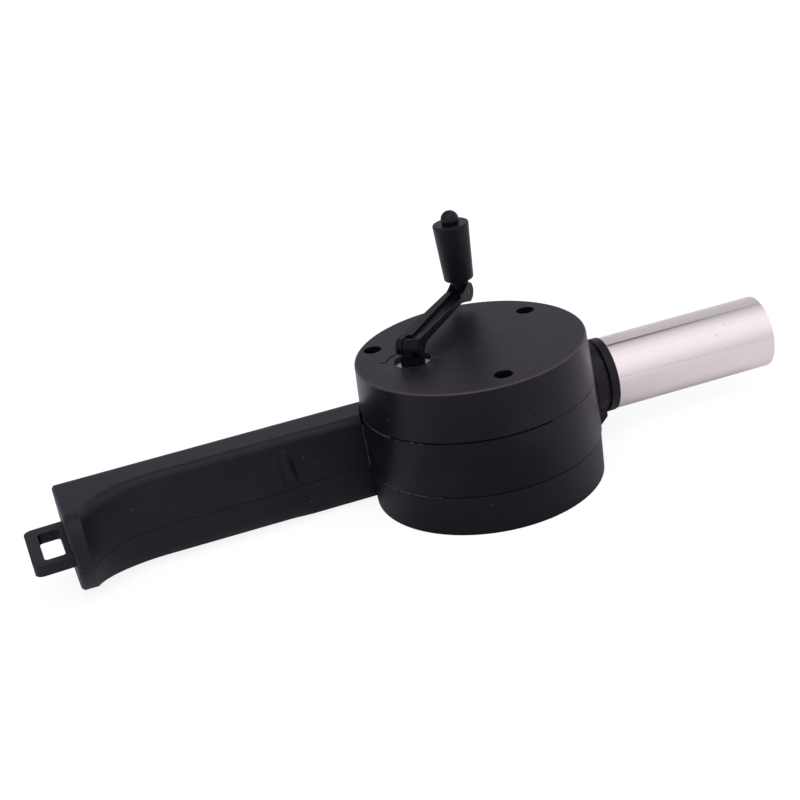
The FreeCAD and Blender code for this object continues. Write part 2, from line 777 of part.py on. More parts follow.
save(ring(crank_washer_radius, hub_run + end_play, washer_bottom, cover_underside, *crank_place),
     "crank_washer")
save(ring(crank_washer_radius, hub_run, upper_bush_bottom, upper_bush_top, *crank_place),
     "crank_bush_upper")
save(ring(journal_bush_radius, journal_run, blind, seam_high, *crank_place), "crank_bush_lower")
save(ring(axle_bush_radius, axle_run, boss_bottom, seam_high + end_play), "impeller_bush_upper")
save(ring(axle_bush_radius, axle_run, blind_floor, lower_bush_top), "impeller_bush_lower")
impeller_washer_bottom = lower_bush_top + end_play
save(ring(axle_bush_radius, axle_run, impeller_washer_bottom,
          impeller_washer_bottom + washer_thickness), "impeller_washer")
save(Part.makeCompound([cyl(axle_radius, blind, axle_top, x, y) for x, y in axle_places]),
     "gear_axles")
washers = []
for x, y in axle_places:
    for washer_base in (seam_high, idler_boss_bottom - washer_thickness):
        washers.append(ring(axle_seat + boss_wall, axle_run, washer_base,
                            washer_base + washer_thickness, x, y))
save(Part.makeCompound(washers), "gear_washers")


# Gears: each is turned so that its teeth stand in the gaps of the one that drives it

crank_turn = heading(crank_place, idler_place)
idler_turn = mesh_turn(crank_turn, crank_teeth, crank_place, idler_pinion_teeth, idler_place)
reversing_gear_turn = mesh_turn(idler_turn, idler_teeth, idler_place, reversing_teeth, reversing_place)
impeller_turn = mesh_turn(reversing_gear_turn, reversing_teeth, reversing_place,
                          impeller_teeth, impeller_place)
sleeve_radius = axle_run + boss_wall

idler_low = gear(idler_teeth, lower_gear_bottom, lower_gear_top, idler_turn, idler_place)
idler_high = gear(idler_pinion_teeth, lower_gear_top, idler_top, idler_turn, idler_place)
idler_hub = cyl(sleeve_radius, idler_bottom, lower_gear_bottom + over, *idler_place)
idler = fused([idler_low, idler_high, idler_hub])
save(idler.cut(cyl(axle_run, idler_bottom - over, idler_top + over, *idler_place)), "idler_gear")

reversing = gear(reversing_teeth, lower_gear_bottom, lower_gear_top, reversing_gear_turn, reversing_place)
sleeve = cyl(sleeve_radius, idler_bottom, idler_top, *reversing_place)
reversing = reversing.fuse(sleeve).cut(cyl(axle_run, 0, drum_top, *reversing_place))
save(reversing, "reversing_gear")

pinion_bottom = seam_high + 3 * end_play
pinion_top = lower_gear_top + gear_hub_gap
pinion = gear(impeller_teeth, pinion_bottom, pinion_top, impeller_turn, impeller_place)
save(pinion.cut(cyl(axle_radius + seat_fit, 0, drum_top)), "impeller_pinion")
save(cyl(axle_radius, blind_floor + end_play, pinion_top + gear_hub_gap), "impeller_shaft")

key_x = crank_place[0] + crank_journal_radius - flat_depth
key_reach = 2 * crank_journal_radius
key_cut = box(key_x, key_x + key_reach, -key_reach, key_reach, crank_hub_bottom, crank_hub_top)
crank_gear = gear(crank_teeth, upper_gear_bottom, upper_gear_top, crank_turn, crank_place)
crank_gear_hub = cyl(crank_hub_radius, crank_hub_bottom, crank_hub_top, *crank_place)
gear_bore = cyl(crank_journal_radius + seat_fit, 0, drum_top, *crank_place)
gear_bore = gear_bore.cut(box(key_x + seat_fit, key_x + key_reach, -key_reach, key_reach, 0, drum_top))
crank_gear = crank_gear.fuse(crank_gear_hub).cut(gear_bore)
lightening_circle = (crank_hub_radius + gear_root(crank_teeth)) / 2
lightening_radius = (gear_root(crank_teeth) - crank_hub_radius) / 2 - lightening_web
for index in range(lightening_holes):
    x, y = polar(lightening_circle, (index + 0.5) * 360 / lightening_holes)
    crank_gear = crank_gear.cut(cyl(lightening_radius, upper_gear_bottom - over, upper_gear_top + over,
                                    crank_place[0] + x, crank_place[1] + y))
save(crank_gear, "crank_gear")

clip_top = crank_hub_bottom - running_fit
clip_groove_radius = crank_journal_radius - clip_groove_depth
clip = ring(crank_journal_radius + clip_proud, clip_groove_radius + seat_fit,
            clip_top - clip_thickness, clip_top, *crank_place)
clip_gap = box(crank_place[0] - key_reach, crank_place[0], -clip_mouth / 2, clip_mouth / 2, 0, drum_top)
save(clip.cut(clip_gap), "crank_clip")


# Crank parts are drawn along +X from the crank axis, then turned to the rest angle


def placed(shape):
    shape = shape.copy()
    shape.rotate(V(0, 0, 0), V(0, 0, 1), arm_angle)
    shape.translate(V(crank_place[0], crank_place[1], 0))
    return shape


hub_top = drum_top + hub_stand
arm_bottom = hub_top + ear_gap + ear_radius
arm_top = arm_bottom + arm_height
near_pivot = (0.0, arm_bottom)
far_pivot = (crank_radius, arm_bottom + far_pivot_rise)
half_tongue = tongue_thickness / 2
ear_inner = half_tongue + side_play

shaft = cyl(crank_journal_radius, blind + end_play, crank_hub_top)
groove = ring(crank_journal_radius + over, clip_groove_radius,
              clip_top - clip_thickness - seat_fit, clip_top + seat_fit)
shaft = shaft.cut(groove)
shaft.translate(V(crank_place[0], crank_place[1], 0))
shaft = shaft.cut(key_cut)
hub = cyl(hub_radius, crank_hub_top, hub_top)
tongue = box(-tongue_radius, tongue_radius, -half_tongue, half_tongue, crank_hub_top, near_pivot[1])
tongue = tongue.fuse(y_cyl(tongue_radius, near_pivot[0], near_pivot[1], half_tongue))
tongue = tongue.cut(y_cyl(pin_radius + running_fit, near_pivot[0], near_pivot[1], near_width))
save(fused([shaft, placed(hub.fuse(tongue))]), "crank_shaft")


save(placed(y_cyl(pin_radius, *near_pivot, near_width / 2 - pin_sink)), "arm_hinge_pin")
save(placed(y_cyl(pin_radius, *far_pivot, far_width / 2 - pin_sink)), "knob_hinge_pin")


def ear_pair(pivot, radius, width, profile):
    corners = [V(x, -width / 2, z) for x, z in profile]
    plate = Part.Face(Part.makePolygon(corners + [corners[0]])).extrude(V(0, width, 0))
    plate = plate.fuse(y_cyl(radius, pivot[0], pivot[1], width / 2))
    return plate.cut(box(-everything, everything, -ear_inner, ear_inner, 0, everything))


def arm_outline(x, part):
    """Cross-section of the arm: flat left rail, sunk web and thin right rail."""
    side = (near_width + (far_width - near_width) * part) / 2
    left = side - left_rail_near - (left_rail_far - left_rail_near) * part
    floor = arm_top - web_drop
    right_top = arm_top - right_rail_drop * part
    right_floor = min(floor - web_fall * part, right_top - web_fall / 2)
    profile = [(side, arm_bottom), (side, arm_top), (left, arm_top), (left, floor),
               (right_rail - side, right_floor), (right_rail - side, right_top),
               (-side, right_top), (-side, arm_bottom)]
    corners = [V(x, y, z) for y, z in profile]
    return Part.makePolygon(corners + [corners[0]])


web_start = tongue_radius + side_play
web_end = crank_radius - tongue_radius - 2 * side_play
near_ears = ear_pair(near_pivot, ear_radius, near_width, [
    (near_pivot[0], near_pivot[1] - ear_radius), (ear_slope, arm_bottom),
    (ear_slope, arm_top), (near_pivot[0], near_pivot[1] + ear_radius)])
far_ears = ear_pair(far_pivot, far_ear_radius, far_width, [
    (far_pivot[0] - far_ear_slope, arm_bottom), (far_pivot[0], far_pivot[1] - far_ear_radius),
    (far_pivot[0], far_pivot[1] + far_ear_radius), (far_pivot[0] - ear_slope, arm_top),
    (far_pivot[0] - far_ear_slope, arm_top)])
beam = Part.makeLoft([arm_outline(web_start, 0.0), arm_outline(web_end, 1.0)], True, True)
arm = fused([beam, near_ears, far_ears])
arm = arm.cut(y_cyl(pin_radius + seat_fit, near_pivot[0], near_pivot[1], near_width))
arm = arm.cut(y_cyl(pin_radius + seat_fit, far_pivot[0], far_pivot[1], near_width))
save(placed(arm), "crank_arm")


# Knob and the stem that it spins on

flange_bottom = far_pivot[1] + far_ear_radius + side_play
flange_top = flange_bottom + stem_flange_height
knob_bottom = flange_top + end_play
knob_top = knob_bottom + knob_height
stem_tongue = box(far_pivot[0] - tongue_radius, far_pivot[0] + tongue_radius,
                  -half_tongue, half_tongue, far_pivot[1], flange_top)
stem_tongue = stem_tongue.fuse(y_cyl(tongue_radius, far_pivot[0], far_pivot[1], half_tongue))
stem_tongue = stem_tongue.cut(y_cyl(pin_radius + running_fit, far_pivot[0], far_pivot[1], near_width))
stem_flange = cyl(stem_flange_radius, flange_bottom, flange_top, crank_radius)
stem_rod = cyl(stem_radius, flange_bottom, knob_top + dome_rise, crank_radius)
dome = Part.makeSphere(dome_radius, V(crank_radius, 0, knob_top + dome_rise))
dome = dome.cut(cyl(dome_radius + over, knob_top - dome_radius, knob_top + end_play, crank_radius))
save(placed(fused([stem_tongue, stem_flange, stem_rod, dome])), "knob_stem")

knob = Part.makeCone(knob_low_radius, knob_top_radius, knob_height, V(crank_radius, 0, knob_bottom))
knob = knob.makeFillet(knob_fillet, [e for e in knob.Edges if e.BoundBox.ZLength < tiny])
knob_slope = (knob_top_radius - knob_low_radius) / knob_height
line_z = knob_bottom + knob_ring_height
line_radius = knob_low_radius + knob_slope * knob_ring_height - knob_ring_depth
knob = knob.cut(ring(knob_top_radius + over, line_radius, line_z, line_z + knob_ring_width, crank_radius))
knob = knob.cut(cyl(stem_radius + running_fit, knob_bottom - over, knob_top + over, crank_radius))
save(placed(knob), "crank_knob")


# Impeller: top plate, hub, straight blades and a shroud ring

plate = cyl(impeller_radius, impeller_top - impeller_plate, impeller_top)
impeller_hub = cyl(impeller_hub_radius, impeller_bottom, impeller_top)
shroud = ring(impeller_radius, shroud_inner_radius, impeller_bottom,
              impeller_bottom + shroud_thickness)
blades = []
for index in range(blade_count):
    blade = box(blade_inner_radius, impeller_radius - blade_tip_inset, -blade_thickness / 2,
                blade_thickness / 2, impeller_bottom, impeller_top - impeller_plate / 2)
    blade.rotate(V(0, 0, 0), V(0, 0, 1), (index + 0.5) * 360 / blade_count)
    blades.append(blade)
impeller = fused([plate, impeller_hub, shroud] + blades)
save(impeller.cut(cyl(axle_radius + seat_fit, 0, drum_top)), "impeller")
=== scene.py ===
import math
import bmesh
import bpy
from mathutils import Matrix, Vector
from mathutils.bvhtree import BVHTree


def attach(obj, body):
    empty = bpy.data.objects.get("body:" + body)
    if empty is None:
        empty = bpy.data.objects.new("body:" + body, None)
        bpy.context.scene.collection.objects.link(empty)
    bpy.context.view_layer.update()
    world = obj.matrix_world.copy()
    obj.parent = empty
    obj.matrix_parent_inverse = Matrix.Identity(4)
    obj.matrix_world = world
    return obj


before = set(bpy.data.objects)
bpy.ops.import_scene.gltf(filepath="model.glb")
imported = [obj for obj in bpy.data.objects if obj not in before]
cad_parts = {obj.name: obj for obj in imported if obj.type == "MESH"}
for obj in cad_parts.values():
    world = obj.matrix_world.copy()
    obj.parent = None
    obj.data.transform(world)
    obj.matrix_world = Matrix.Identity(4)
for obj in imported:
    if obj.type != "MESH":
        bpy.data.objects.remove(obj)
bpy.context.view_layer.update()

# The dressed hand crank fan: finishes for every moulded, turned and plated piece, the thin flash
# left along the moulding seams, painted shade in the seam gaps, a painted highlight by the handle
# and on the lid's rim, and a white studio. Metres, in the frame of the construction.

MM = 0.001

# Places on the fan, in millimetres
crank_hole = (-20.5, 0.0, 51.65)
lid_face = 51.0
tube_side = 13.0
neck_height = 21.04
# Radius and height of the two seams round the drum
upper_seam = (40.84, 34.30)
lower_seam = (41.02, 14.50)


# Node graphs


class Wire:
    """A socket that can be used in Python arithmetic, which adds the nodes for it."""

    def __init__(self, finish, socket):
        self.finish = finish
        self.socket = socket

    def maths(self, operation, *terms):
        return self.finish.node("Math", {"operation": operation}, dict(enumerate(terms))).out(0)

    def __add__(self, other):
        return self.maths("ADD", self, other)

    def __radd__(self, other):
        return self.maths("ADD", other, self)

    def __sub__(self, other):
        return self.maths("SUBTRACT", self, other)

    def __rsub__(self, other):
        return self.maths("SUBTRACT", other, self)

    def __mul__(self, other):
        return self.maths("MULTIPLY", self, other)

    def __rmul__(self, other):
        return self.maths("MULTIPLY", other, self)

    def __gt__(self, other):
        return self.maths("GREATER_THAN", self, other)

    def __lt__(self, other):
        return self.maths("LESS_THAN", self, other)

    def between(self, low, high):
        limits = {"Value": self, "From Min": low, "From Max": high}
        return self.finish.node("MapRange", {"interpolation_type": "SMOOTHSTEP"}, limits).out("Result")


class Made:
    """A node that has just been made, for taking its outputs."""

    def __init__(self, finish, node):
        self.finish = finish
        self.node = node

    def out(self, name):
        return Wire(self.finish, self.node.outputs[name])


class Finish:
    """A node tree of a material, the world or a geometry group, whose nodes are made by node()."""

    def __init__(self, tree):
        self.tree = tree
        self.tree.nodes.clear()

    def node(self, kind, settings=None, sockets=None):
        made = self.tree.nodes.new(kind if "Node" in kind else "ShaderNode" + kind)
        for key, value in (settings or {}).items():
            if key == "stops":
                set_stops(made.color_ramp, value)
            else:
                setattr(made, key, value)
        for key, value in (sockets or {}).items():
            if isinstance(value, Wire):
                self.tree.links.new(value.socket, made.inputs[key])
            else:
                made.inputs[key].default_value = value
        return Made(self, made)

    def place(self, turn=(0, 0, 0), stretch=(1, 1, 1)):
        spot = self.node("TexCoord").out("Object")
        return self.node("Mapping", {}, {"Vector": spot, "Rotation": turn, "Scale": stretch}).out(0)

    def noise(self, spot, scale, detail=2.0, rough=0.5):
        sockets = {"Vector": spot, "Scale": scale, "Detail": detail, "Roughness": rough}
        return self.node("TexNoise", {}, sockets).out(0)

    def mix(self, amount, first, second):
        sockets = {"Factor": amount, "A": first, "B": second}
        made = self.node("Mix", {"data_type": "RGBA"})
        for key, value in sockets.items():
            kind = "VALUE" if key == "Factor" else "RGBA"
            socket = next(s for s in made.node.inputs if s.name == key and s.type == kind)
            if isinstance(value, Wire):
                self.tree.links.new(value.socket, socket)
            else:
                socket.default_value = value
        result = next(s for s in made.node.outputs if s.type == "RGBA")
        return Wire(self, result)

    def bump(self, height, distance, strength=1.0):
        sockets = {"Height": height, "Distance": distance, "Strength": strength}
        return self.node("Bump", {}, sockets).out(0)

    def principled(self, sockets):
        shader = self.node("BsdfPrincipled", {}, sockets).out(0)
        self.node("OutputMaterial", {}, {"Surface": shader})


def set_stops(ramp, stops):
    """Grey stops of a colour ramp, each a position and a value."""
    while len(ramp.elements) < len(stops):
        ramp.elements.new(1.0)
    for element, (position, value) in zip(ramp.elements, stops):
        element.position = position
        element.color = (value, value, value, 1.0)


def new_finish(name):
    material = bpy.data.materials.new(name)
    material.use_nodes = True
    return material, Finish(material.node_tree)


def tone(red, green, blue):
    return (red, green, blue, 1.0)


# Finishes


def specks(finish, spot, scale, share, size):
    """Small round marks: one in some of the cells, each a fraction of its cell across."""
    cells = finish.node("TexVoronoi", {"feature": "F1"}, {"Vector": spot, "Scale": scale})
    chosen = finish.node("SeparateColor", {}, {"Color": cells.out("Color")}).out(0) < share
    return chosen * (cells.out("Distance") < size)


def scratches(finish, turn, scale, thinness):
    """Fine straight marks that come and go along one direction."""
    along = finish.place(turn, (1.0, 26.0, 26.0))
    off_line = finish.noise(along, scale, 1.0) - 0.5
    here = finish.noise(finish.place(), 45.0, 1.0).between(0.55, 0.68)
    return (1 - (off_line * off_line * thinness).between(0.0, 0.01)) * here


def reach_from(finish, spot, centre):
    """Distance from a place that is given in millimetres."""
    centre = Vector(centre) * MM
    away = finish.node("VectorMath", {"operation": "DISTANCE"}, {0: spot, 1: centre})
    return away.out(1)


def lid_wear_and_rim_highlight(finish, spot):
    """The lid is rubbed pale round its shaft hole, has a painted highlight along its rim, and is
    duller on top.
    """
    reach = reach_from(finish, spot, crank_hole)
    blotch = finish.noise(spot, 900.0, 4.0, 0.8)
    near = 1 - reach.between(7.0 * MM, 15.0 * MM)
    turned = blotch * 9.0 + reach * 5200.0
    rings = turned.maths("SINE", turned).between(0.80, 0.99) * blotch.between(0.46, 0.60)
    rub = near * (blotch.between(0.50, 0.72) * 0.4 + rings * 0.9)
    axes = finish.node("SeparateXYZ", {}, {"Vector": spot})
    x, y, z = (axes.out(axis) for axis in range(3))
    radius_squared = (x * x + y * y) * (1.0 / (MM * MM))
    # Painted highlight: a pale band on the lid's top edge, where its rounded rim catches the light
    on_rim = radius_squared.between(1530.0, 1572.0) * z.between(lid_face * MM, 51.4 * MM)
    dull = z.between(lid_face * MM, 51.6 * MM) * 0.09
    return rub, on_rim * (0.15 + blotch * 0.5), dull


def moulded_plastic(name, colour, mark_colour, gloss, grain=1.0, level=0.25, lid=False):
    """Moulded plastic: a fine spark-eroded grain, cloudy sheen, light scuffs and dust, and on the lid
    a painted highlight along its rim. The mark colour shows in marks and in that highlight, gloss is
    the least roughness and level the strength of its mirroring."""
    material, finish = new_finish(name)
    spot = finish.place()
    cloud = finish.noise(spot, 38.0, 3.0, 0.6)
    fine = finish.noise(spot, 2600.0, 2.0)
    swell = finish.noise(spot, 210.0, 2.0)
    mottle = finish.noise(spot, 800.0, 4.0, 0.75)
    scuff = scratches(finish, (0.3, 0.2, 0.9), 90.0, 60.0) * 0.5
    scuff = scuff + scratches(finish, (0.1, 0.5, -0.6), 120.0, 80.0) * 0.4
    dust = specks(finish, spot, 330.0, 0.03, 0.10)
    flecks = specks(finish, finish.place((0.4, 0.9, 0.2)), 900.0, 0.02, 0.16)
    marks = dust * 0.7 + flecks * 0.4 + scuff * 0.34 + mottle.between(0.52, 0.80) * 0.07
    dull = 0.0
    if lid:
        rub, rim_highlight, dull = lid_wear_and_rim_highlight(finish, spot)
        # The lid's marks take in its worn paleness round the shaft hole and the painted highlight on
        # its rim
        marks = marks + rub + rim_highlight
        scuff = scuff + rub
    shaded = finish.mix(cloud, tone(*[0.75 * c for c in colour]), tone(*[1.25 * c for c in colour]))
    finish.principled({
        "Base Color": finish.mix(marks, shaded, tone(*mark_colour)),
        "Roughness": gloss + cloud * 0.10 + swell * 0.04 + scuff * 0.15 + mottle * 0.12 + dull,
        "Specular IOR Level": level,
        "Specular Tint": tone(0.95, 0.89, 1.0),
        "Normal": finish.bump(fine * 0.5 * grain + swell * 0.6 - scuff * 0.8, 0.02 * MM, 0.6),
    })
    return material


def drawn_steel(name, colour):
    """Polished tube: fine lines along its length, one long scratch, a few pits and short hairs."""
    material, finish = new_finish(name)
    spot = finish.place()
    lines = finish.noise(finish.place((0, 0, 0), (3.0, 700.0, 700.0)), 6.0, 2.0)
    cloud = finish.noise(spot, 60.0, 3.0)
    pits = specks(finish, spot, 260.0, 0.42, 0.10)
    dents = specks(finish, finish.place((0.7, 0.1, 0.3)), 130.0, 0.25, 0.06)
    hair = specks(finish, finish.place((0.2, 0.1, 0.5), (0.3, 2.2, 2.2)), 150.0, 0.035, 0.05)
    axes = finish.node("SeparateXYZ", {}, {"Vector": spot})
    off_line = axes.out(2) + axes.out(0) * 0.019 - 25.13 * MM
    front = axes.out(1) < tube_side * MM
    long_scratch = (1 - (off_line * off_line * 1.0e8).between(0.2, 1.2)) * front
    marks = pits * 0.32 + dents * 0.55 + hair * 0.5 + long_scratch * lines.between(0.35, 0.6) * 0.3
    light = finish.mix(cloud, tone(*[0.95 * c for c in colour]), tone(*colour))
    finish.principled({
        "Base Color": finish.mix(marks, light, tone(0.2, 0.18, 0.18)),
        "Metallic": 1.0,
        "Roughness": 0.045 + lines * 0.03 + cloud * 0.02 + marks * 0.3,
        "Normal": finish.bump(lines * 0.2 - marks, 0.01 * MM, 0.5),
    })
    return material


def turned_metal(name, colour, dark, rough):
    """Plated or turned metal: tool rings round the upright axis and a little tarnish."""
    material, finish = new_finish(name)
    spot = finish.place()
    rings = finish.noise(finish.place((0, 0, 0), (1.0, 1.0, 30.0)), 420.0, 2.0)
    tarnish = finish.noise(spot, 160.0, 3.0, 0.65).between(0.42, 0.7)
    finish.principled({
        "Base Color": finish.mix(tarnish * 0.6, tone(*colour), tone(*dark)),
        "Metallic": 1.0,
        "Roughness": rough + rings * 0.1 + tarnish * 0.15,
        "Normal": finish.bump(rings, 0.01 * MM, 0.5),
    })
    return material


def gear_resin(name, colour):
    """Natural gear resin, slightly waxy, with a film of grease in places."""
    material, finish = new_finish(name)
    spot = finish.place()
    cloud = finish.noise(spot, 120.0, 3.0)
    grease = finish.noise(spot, 75.0, 2.0, 0.7).between(0.5, 0.62)
    fine = finish.noise(spot, 1800.0, 2.0)
    warm = finish.mix(cloud, tone(*[0.9 * c for c in colour]), tone(*colour))
    finish.principled({
        "Base Color": finish.mix(grease * 0.35, warm, tone(0.62, 0.55, 0.38)),
        "Roughness": 0.42 - grease * 0.22 + fine * 0.08,
        "Normal": finish.bump(fine * 0.3 + cloud, 0.02 * MM, 0.5),
    })
    return material


cover_black = moulded_plastic("cover_black", (0.0050, 0.0044, 0.0062), (0.12, 0.11, 0.13), 0.18,
                              lid=True)
case_black = moulded_plastic("case_black", (0.0050, 0.0044, 0.0062), (0.11, 0.105, 0.12), 0.18)
grip_black = moulded_plastic("grip_black", (0.0046, 0.0041, 0.0057), (0.08, 0.075, 0.09), 0.33,
                             grain=1.3, level=0.30)
crank_black = moulded_plastic("crank_black", (0.0034, 0.0031, 0.0040), (0.10, 0.10, 0.11), 0.26,
                              grain=0.8, level=0.13)
knob_black = moulded_plastic("knob_black", (0.0036, 0.0032, 0.0043), (0.10, 0.10, 0.11), 0.26,
                             grain=0.8, level=0.24)
collar_black = moulded_plastic("collar_black", (0.0040, 0.0037, 0.0045), (0.07, 0.07, 0.07), 0.30)
wheel_grey = moulded_plastic("wheel_grey", (0.040, 0.041, 0.044), (0.16, 0.16, 0.16), 0.38,
                             level=0.4)
# Light grey flash along the seams, also used for the painted highlight down the drum's edge by the
# handle
flash_and_highlight_grey = moulded_plastic("flash_and_highlight_grey", (0.20, 0.19, 0.21), (0.4, 0.4, 0.4), 0.28, level=0.5)
# Painted shade: near-black and barely mirroring, for threads laid in the seam grooves and the collar's
# joints
painted_gap_shade = moulded_plastic("painted_gap_shade", (0.0008, 0.0008, 0.0008), (0.002, 0.002, 0.002), 0.8,
                            level=0.05)
tube_steel = drawn_steel("tube_steel", (0.845, 0.82, 0.735))
zinc_plate = turned_metal("zinc_plate", (0.78, 0.78, 0.80), (0.48, 0.47, 0.46), 0.16)
dark_steel = turned_metal("dark_steel", (0.055, 0.055, 0.06), (0.03, 0.03, 0.03), 0.3)
bush_bronze = turned_metal("bush_bronze", (0.72, 0.52, 0.25), (0.38, 0.24, 0.10), 0.24)
gear_white = gear_resin("gear_white", (0.80, 0.78, 0.74))

worn_by = {
    cover_black: ["top_cover"],
    case_black: ["middle_housing"],
    grip_black: ["bottom_housing", "handle_upper_shell"],
    collar_black: ["tube_collar"],
    crank_black: ["crank_shaft", "crank_arm"],
    knob_black: ["knob_stem", "crank_knob"],
    tube_steel: ["outlet_tube"],
    zinc_plate: ["cover_screws", "base_screws", "handle_screws", "crank_clip", "gear_axles",
                 "gear_washers", "impeller_shaft", "impeller_washer"],
    dark_steel: ["arm_hinge_pin", "knob_hinge_pin"],
    bush_bronze: ["crank_bush_upper", "crank_bush_lower", "impeller_bush_upper",
                  "impeller_bush_lower"],
    gear_white: ["crank_washer", "crank_gear", "idler_gear", "reversing_gear", "impeller_pinion"],
    wheel_grey: ["impeller"],
}
for material, names in worn_by.items():
    for name in names:
        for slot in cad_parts[name].material_slots:
            slot.material = material


# Threads: ragged flash along the seams, a painted highlight down the drum's edge by the handle,
# painted shade in the seam gaps, glue on the neck and the lip of the tube


def thread_tree():
    """Turns the edges of a path into a wavy thread with breaks in it."""
    tree = bpy.data.node_groups.new("ragged_thread", "GeometryNodeTree")
    graph = Finish(tree)
    face = tree.interface
    face.new_socket(name="Geometry", in_out="INPUT", socket_type="NodeSocketGeometry")
    for name in ("Thickness", "Unevenness", "Waviness", "Coverage", "Break Scale", "Seed"):
        face.new_socket(name=name, in_out="INPUT", socket_type="NodeSocketFloat")
    face.new_socket(name="Material", in_out="INPUT", socket_type="NodeSocketMaterial")
    face.new_socket(name="Geometry", in_out="OUTPUT", socket_type="NodeSocketGeometry")
    wave_scale = 700.0
    swell_scale = 900.0
    given = graph.node("NodeGroupInput")
    spot = graph.node("GeometryNodeInputPosition").out(0)
    seed = given.out("Seed")

    def drift(scale, offset, output):
        """Noise along the path, with its own seed for each offset."""
        sockets = {"Vector": spot, "W": seed + offset, "Scale": scale, "Detail": 2.0}
        return graph.node("TexNoise", {"noise_dimensions": "4D"}, sockets).out(output)

    broken = drift(given.out("Break Scale"), 0.0, 0) > given.out("Coverage")
    kept = graph.node("GeometryNodeDeleteGeometry", {"domain": "EDGE", "mode": "ALL"},
                      {"Geometry": given.out("Geometry"), "Selection": broken}).out(0)
    path = graph.node("GeometryNodeMeshToCurve", {}, {"Mesh": kept}).out(0)
    centred = graph.node("VectorMath", {"operation": "SUBTRACT"},
                         {0: drift(wave_scale, 11.0, "Color"), 1: (0.5, 0.5, 0.5)}).out(0)
    shift = graph.node("VectorMath", {"operation": "SCALE"},
                       {0: centred, "Scale": given.out("Waviness")}).out(0)
    path = graph.node("GeometryNodeSetPosition", {}, {"Geometry": path, "Offset": shift}).out(0)
    profile = graph.node("GeometryNodeCurvePrimitiveCircle", {}, {"Resolution": 6, "Radius": 1.0})
    uneven = 1 + (drift(swell_scale, 23.0, 0) - 0.5) * given.out("Unevenness")
    thread = graph.node("GeometryNodeCurveToMesh", {}, {
        "Curve": path, "Profile Curve": profile.out(0), "Scale": uneven * given.out("Thickness"),
        "Fill Caps": True}).out(0)
    real = graph.node("GeometryNodeRealizeInstances", {}, {"Geometry": thread}).out(0)
    dressed = graph.node("GeometryNodeSetMaterial", {},
                         {"Geometry": real, "Material": given.out("Material")}).out(0)
    graph.node("NodeGroupOutput", {}, {"Geometry": dressed})
    return tree


def face_outward(mesh):
    shape = bmesh.new()
    shape.from_mesh(mesh)
    bmesh.ops.recalc_face_normals(shape, faces=shape.faces)
    shape.to_mesh(mesh)
    shape.free()
    for face in mesh.polygons:
        face.use_smooth = True


def thread(name, paths, material, slot, sizes):
    """A piece made by the ragged thread group along paths that are lists of points."""
    corners = []
    edges = []
    for path in paths:
        first = len(corners)
        corners.extend(path)
        edges.extend((first + step, first + step + 1) for step in range(len(path) - 1))
    mesh = bpy.data.meshes.new(name + "_path")
    mesh.from_pydata(corners, edges, [])
    piece = bpy.data.objects.new(name, mesh)
    bpy.context.scene.collection.objects.link(piece)
    modifier = piece.modifiers.new("thread", "NODES")
    modifier.node_group = ragged_thread
    given = dict(sizes, Material=material)
    for item in ragged_thread.interface.items_tree:
        if item.in_out == "INPUT" and item.name in given:
            modifier[item.identifier] = given[item.name]
    graph = bpy.context.evaluated_depsgraph_get()
    solid = bpy.data.meshes.new_from_object(piece.evaluated_get(graph), depsgraph=graph)
    piece.modifiers.clear()
    piece.data = solid
    face_outward(solid)
    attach(piece, "housing")


def thread_sizes(thickness, unevenness, waviness, coverage, break_scale, seed):
    """Thickness and waviness in millimetres; coverage is the share that isn't broken away."""
    return {"Thickness": thickness * MM, "Unevenness": unevenness, "Waviness": waviness * MM,
            "Coverage": coverage, "Break Scale": break_scale, "Seed": seed}


def turns(start, end, steps):
    return [math.radians(start + (end - start) * step / steps) for step in range(steps + 1)]


def arc(seam, out, up, start, end):
    """Points along a seam, moved by millimetres, between two angles in degrees."""
    radius = seam[0] + out
    height = seam[1] + up
    steps = int(math.radians(abs(end - start)) * radius / path_step) + 1
    return [(radius * math.cos(a) * MM, radius * math.sin(a) * MM, height * MM)
            for a in turns(start, end, steps)]


def neck_arc(radius, x, start=0.0, end=360.0):
    """Points round the neck, in millimetres and degrees."""
    return [(x * MM, (tube_side - radius * math.cos(a)) * MM,
             (neck_height + radius * math.sin(a)) * MM) for a in turns(start, end, neck_steps)]


ragged_thread = thread_tree()
path_step = 0.4
neck_steps = 60
# Painted highlight: a light grey thread down the drum's edge beside the handle, where the side catches
# the light at a grazing angle
handle_corner_highlight = [(-41.12 * MM, 4.05 * MM, (15.0 + path_step * step) * MM) for step in range(42)]
flash_and_highlight_sizes = thread_sizes(0.062, 1.8, 0.16, 0.62, 420.0, 3.0)
burr_sizes = thread_sizes(0.14, 3.0, 0.6, 0.60, 900.0, 14.0)
fleck_sizes = thread_sizes(0.10, 3.0, 0.2, 0.33, 900.0, 21.0)
gap_shade_sizes = thread_sizes(0.19, 0.5, 0.06, 1.0, 100.0, 5.0)
wide_gap_shade_sizes = thread_sizes(0.26, 0.5, 0.06, 1.0, 100.0, 5.0)
glue_sizes = thread_sizes(0.30, 1.4, 1.1, 0.62, 120.0, 8.0)
lip_sizes = thread_sizes(0.16, 0.3, 0.03, 1.0, 100.0, 2.0)

